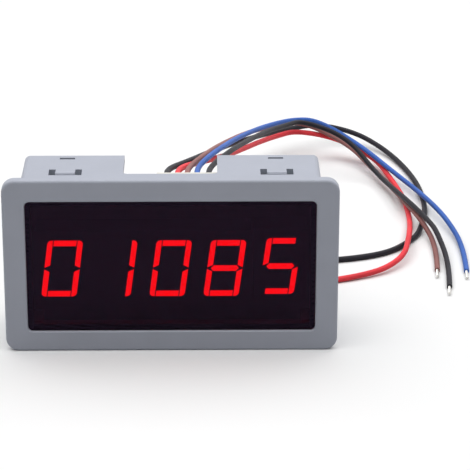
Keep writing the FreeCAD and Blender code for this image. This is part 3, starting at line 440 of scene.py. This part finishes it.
def strand(mesh, start, ahead, side, phase, offset, length):
    """One wire strand, wound round the lead's axis at an offset from it."""
    above = ahead.cross(side)
    twist = 2 * math.pi * STRAND_TURNS / BARE_LENGTH
    rings = []
    for step in range(STRAND_STEPS + 1):
        along = length * step / STRAND_STEPS
        angle = phase + twist * along
        out = side * math.cos(angle) + above * math.sin(angle)
        turning = above * math.cos(angle) - side * math.sin(angle)
        tangent = (ahead + turning * offset * twist).normalized()
        radius = STRAND_RADIUS * (0.7 if step == STRAND_STEPS else 1.0)
        rings.append(circle(start + ahead * along + out * offset, out, tangent.cross(out), radius, 8))
    skin(mesh, rings)


def make_strands(name, points):
    """The twisted and tinned strands at a lead's end, placed from the end of its line."""
    end = Vector(points[-1])
    ahead = (end - Vector(points[-2])).normalized()
    side = ahead.cross(Vector((0, 0, 1))).normalized()
    start = end - ahead * INSIDE_INSULATION
    length = BARE_LENGTH + INSIDE_INSULATION
    mesh = bmesh.new()
    strand(mesh, start, ahead, side, 0, 0, length)
    for place in range(6):
        cut = 0.05 * ((place * 5) % 7)
        strand(mesh, start, ahead, side, place * math.pi / 3, STRAND_RADIUS * 2, length - cut)
    piece = finish_piece("strands_" + name, mesh, TIN)
    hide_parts("bare_end_" + name)
    return piece


def end_of_line(curve):
    """The last two points of a lead's own line, in millimetres."""
    thin = curve.copy()
    thin.data = curve.data.copy()
    thin.data.bevel_depth = 0
    line = bpy.data.meshes.new_from_object(thin)
    points = [tuple(vertex.co / MM) for vertex in line.vertices[-2:]]
    bpy.data.meshes.remove(line)
    bpy.data.objects.remove(thin)
    return points


def route_spline(name, points, radius):
    """An open curve that has the route's points as its control points."""
    curve = bpy.data.curves.new(name, "CURVE")
    curve.dimensions = "3D"
    curve.resolution_u = 8
    spline = curve.splines.new("NURBS")
    spline.points.add(len(points) - 1)
    for control, point in zip(spline.points, points):
        control.co = (*(c * MM for c in point), 1)
    spline.order_u = 3
    spline.use_endpoint_u = True
    curve.bevel_depth = radius * MM
    curve.bevel_resolution = 5
    curve.use_fill_caps = True
    piece = bpy.data.objects.new(name, curve)
    bpy.context.scene.collection.objects.link(piece)
    return piece


def make_leads():
    for name, (diameter, length, points) in LEADS.items():
        tone = name.split("_")[0]
        piece = route_spline("wire_" + name, points, diameter / 2)
        piece.data.materials.append(insulation(name, INSULATION[tone]))
        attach(piece, "root")
        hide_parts("lead_" + name)
        strands = make_strands(name, end_of_line(piece))


# The circuit board

def solder_cone(mesh, x, z, face, outwards, tip):
    """A fillet of solder that climbs a pin, hollow like a trumpet's bell."""
    rings = []
    for part in (step / 8 for step in range(9)):
        radius = tip + (FILLET_RADIUS - tip) * (1 - part) ** 2.3
        rings.append(board_circle(x, face + outwards * FILLET_HEIGHT * part, z, radius, 20))
    skin(mesh, rings)


def make_solder():
    for name, places, face, outwards, tip in (
        ("display", DISPLAY_PINS, BOARD_BACK, 1, 0.36),
        ("header", HEADER_PINS, BOARD_FRONT, -1, 0.45),
    ):
        mesh = bmesh.new()
        for x, z in places:
            solder_cone(mesh, x, z, face, outwards, tip)
        piece = finish_piece("solder_fillets_" + name, mesh, SOLDER)
        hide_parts(name + "_solder")


def leg_feet(centre, count, reach):
    """Where an integrated circuit's legs stand, one row below and one above its body."""
    columns = row(centre[0], LEG_PITCH, count)
    return [(x, centre[1] + side * reach, side) for side in (-1, 1) for x in columns]


def jog(start, end, knee):
    """A trace that leaves straight, crosses at 45 degrees and arrives straight."""
    (x0, z0), (x1, z1) = start, end
    sign = 1 if z1 > z0 else -1
    room = abs(z1 - z0)
    slope = min(abs(x1 - x0), room * 0.8)
    first = min(knee, room - slope)
    return [start, (x0, z0 + sign * first), (x1, z0 + sign * (first + slope)), end]


def make_traces():
    """Copper under the solder mask, which shows as slightly raised lighter lines."""
    mesh = bmesh.new()

    def trace(width, *line):
        ribbon(mesh, line, width, TRACE_HEIGHT)

    for centre, legs, reach, pins in CIRCUITS:
        for x, z, side in leg_feet(centre, legs, reach - 0.15):
            for pin in row(centre[0], PITCH, pins):
                if abs(pin - x) < PITCH / 3:
                    trace(FINE_TRACE, *jog((x, z), (pin, centre[1] + side * ROW_OFFSET), 0.5))
    for place in range(4):
        z = 17.2 + place * 2.2
        trace(FINE_TRACE, (0.9, z), (15.5, z), (17.2, z + 0.6), (20.6, z + 0.6))
    for place, (x, z) in enumerate(TRANSISTORS):
        top, end = 10.6 + place * 0.55, -14.2 + place * 1.1
        trace(FINE_TRACE, (x, z + 0.9), (x, top), (end, top), (end + 1.3, 11.9))
    for x, z in RESISTORS:
        trace(FINE_TRACE, (x, z + 0.8), (x, 10.6), (x + 0.6, 12.3))
    far_ends = [(-20.4, 36.3), (-20.4, 31.8), (-3.5, 29.6), (4.2, 28.9), (11.9, 26.6)]
    for place, ((x, z), end) in enumerate(zip(HEADER_PINS, far_ends)):
        low = 30.6 - place * 0.35
        width = SUPPLY_TRACE if place < 2 else SIGNAL_TRACE
        trace(width, (x, z), (x, low + 0.7), (x - 0.7, low), (end[0], low), end)
    trace(SIGNAL_TRACE, (8.8, 10.4), (10.4, 12.0), (10.4, 14.9), (0.6, 14.9))
    trace(SIGNAL_TRACE, (15.2, 10.4), (15.2, 16.0), (0.6, 16.0))
    trace(GROUND_TRACE, (-32.6, 5.1), (32.4, 5.1), (32.4, 37.9), (-32.6, 37.9), (-32.6, 5.6))
    copper = plain("board_copper", (0.035, 0.27, 0.11), 0.26, scale=500)
    finish_piece("board_traces", mesh, copper)


def make_pads():
    """Tinned rings round the pins and tinned lands under the legs of the surface parts."""
    mesh = bmesh.new()

    def land(x, start, end, width):
        ribbon(mesh, [(x, start), (x, end)], width, PAD_HEIGHT)

    for x, z in DISPLAY_PINS:
        disc(mesh, x, z, 1.08, PAD_HEIGHT)
    for centre, legs, reach, _ in CIRCUITS:
        for x, z, side in leg_feet(centre, legs, reach):
            land(x, z - 0.75 * side, z + 0.85 * side, 0.62)
    for x, z in TRANSISTORS:
        land(x, z + 0.5, z + 1.75, 0.9)
        for side in (-1, 1):
            land(x + 0.95 * side, z - 1.75, z - 0.5, 0.9)
    for x, z in RESISTORS + CHIP_CAPACITORS:
        for side in (-1, 1):
            land(x, z + side * 0.45, z + side * 1.4, 1.4)
    for x in row(CRYSTAL[0], CRYSTAL_LEGS, 2):
        disc(mesh, x, CRYSTAL[1], 0.85, PAD_HEIGHT)
    for x, z in VIAS:
        disc(mesh, x, z, 0.36, VIA_HEIGHT)
    finish_piece("board_pads", mesh, SOLDER)


def make_outlines():
    """White outlines round the parts, as printed on the board."""
    mesh = bmesh.new()

    def outline(middle, half_width, half_height, notch=0.0):
        x, z = middle
        left, right, low, high = x - half_width, x + half_width, z - half_height, z + half_height
        line = [(left + 0.01, low), (right, low), (right, high), (left, high), (left, low)]
        if notch:
            line[4:] = [(left, z + notch), (left + notch, z), (left, z - notch), (left, low)]
        ribbon(mesh, line, INK_WIDTH, INK_HEIGHT)

    outline(CONTROLLER, 6.75, 3.45, 0.8)
    outline(DRIVER, 5.3, 1.7, 0.6)
    outline(CONNECTOR, 7.7, 3.25)
    outline(DIODE, 3.1, 1.7)
    outline(REGULATOR, 4.0, 4.0)
    outline(CAPACITOR, 3.65, 3.65)
    outline(CRYSTAL, 5.9, 2.6)
    for place in TRANSISTORS:
        outline(place, 1.75, 2.05)
    for place in RESISTORS + CHIP_CAPACITORS:
        outline(place, 0.98, 1.75)
    finish_piece("board_outlines", mesh, plain("board_ink", (0.72, 0.73, 0.70), 0.6))


# Floor, light and camera

def make_floor():
    """A matt floor that keeps the shadow near the case and fades to white in the distance.

    It is white where it is seen or mirrored, and grey in the light that it returns."""
    bpy.ops.mesh.primitive_plane_add(size=6, location=(0, 0, 0))
    floor = bpy.context.object
    floor.name = "floor"
    material = new_material("floor", FLOOR_SEEN[:3], 0.9, specular=0.1)
    shader = shader_of(material)
    seen = seen_or_mirrored(material)
    feed(material, mix_colours(material, seen, FLOOR_RETURNED, FLOOR_SEEN), shader.inputs["Base Color"])
    distance = node(material, "ShaderNodeVectorMath", Vector=position(material))
    distance.operation = "LENGTH"
    far = node(
        material, "ShaderNodeMapRange",
        Value=distance.outputs["Value"], From_Min=FADE_START, From_Max=FADE_END,
    )
    far.interpolation_type = "SMOOTHSTEP"
    white = node(material, "ShaderNodeEmission", Color=WHITE, Strength=1.0)
    share = maths(material, "MULTIPLY", far.outputs["Result"], seen)
    surface = material.node_tree.nodes["Material Output"].inputs["Surface"]
    feed(material, mix_shaders(material, share, shader, white), surface)
    floor.data.materials.append(material)


def make_lights():
    """A large lamp overhead and a dim room. Seen directly or mirrored, the room is white."""
    light = bpy.data.lights.new("top", "AREA")
    light.shape = "RECTANGLE"
    light.size, light.size_y = LAMP_SIZE
    light.energy = LAMP_POWER
    lamp = bpy.data.objects.new("top", light)
    lamp.location = LAMP_AT
    bpy.context.scene.collection.objects.link(lamp)
    world = bpy.data.worlds.new("studio")
    bpy.context.scene.world = world
    world.use_nodes = True
    nodes = world.node_tree.nodes
    dim = nodes["Background"]
    dim.inputs["Color"].default_value = WHITE
    dim.inputs["Strength"].default_value = ROOM_LIGHT
    white = node(world, "ShaderNodeBackground", Color=WHITE, Strength=1.0)
    surface = nodes["World Output"].inputs["Surface"]
    feed(world, mix_shaders(world, seen_or_mirrored(world), dim, white), surface)


def make_camera():
    """Aims along the fitted direction, with the photograph's small roll."""
    turn, tilt, roll = (math.radians(a) for a in (CAMERA_AZIMUTH, CAMERA_ELEVATION, CAMERA_ROLL))
    ahead = Vector((math.sin(turn) * math.cos(tilt), math.cos(turn) * math.cos(tilt), -math.sin(tilt)))
    level = ahead.cross(Vector((0, 0, 1))).normalized()
    above = level.cross(ahead)
    right = level * math.cos(roll) + above * math.sin(roll)
    up = above * math.cos(roll) - level * math.sin(roll)
    data = bpy.data.cameras.new("camera")
    data.lens = CAMERA_LENS
    data.sensor_width = 36
    data.clip_start, data.clip_end = 0.01, 20
    camera = bpy.data.objects.new("camera", data)
    bpy.context.scene.collection.objects.link(camera)
    axes = Matrix((right, up, -ahead)).transposed().to_4x4()
    camera.matrix_world = Matrix.Translation(Vector(CAMERA_AT) * MM) @ axes
    bpy.context.scene.camera = camera


TIN = plain("tinned_metal", (0.74, 0.73, 0.70), 0.3, metallic=1.0)
SOLDER = plain("solder", (0.52, 0.52, 0.51), 0.32, metallic=1.0, bump=0.2)
NYLON = plain("white_nylon", (0.76, 0.74, 0.67), 0.4)

make_camera()
make_leads()
dress_nodes()
make_solder()
make_traces()
make_pads()
make_outlines()
make_floor()
make_lights()
bpy.context.scene.view_settings.view_transform = "Standard"

bpy.context.view_layer.update()
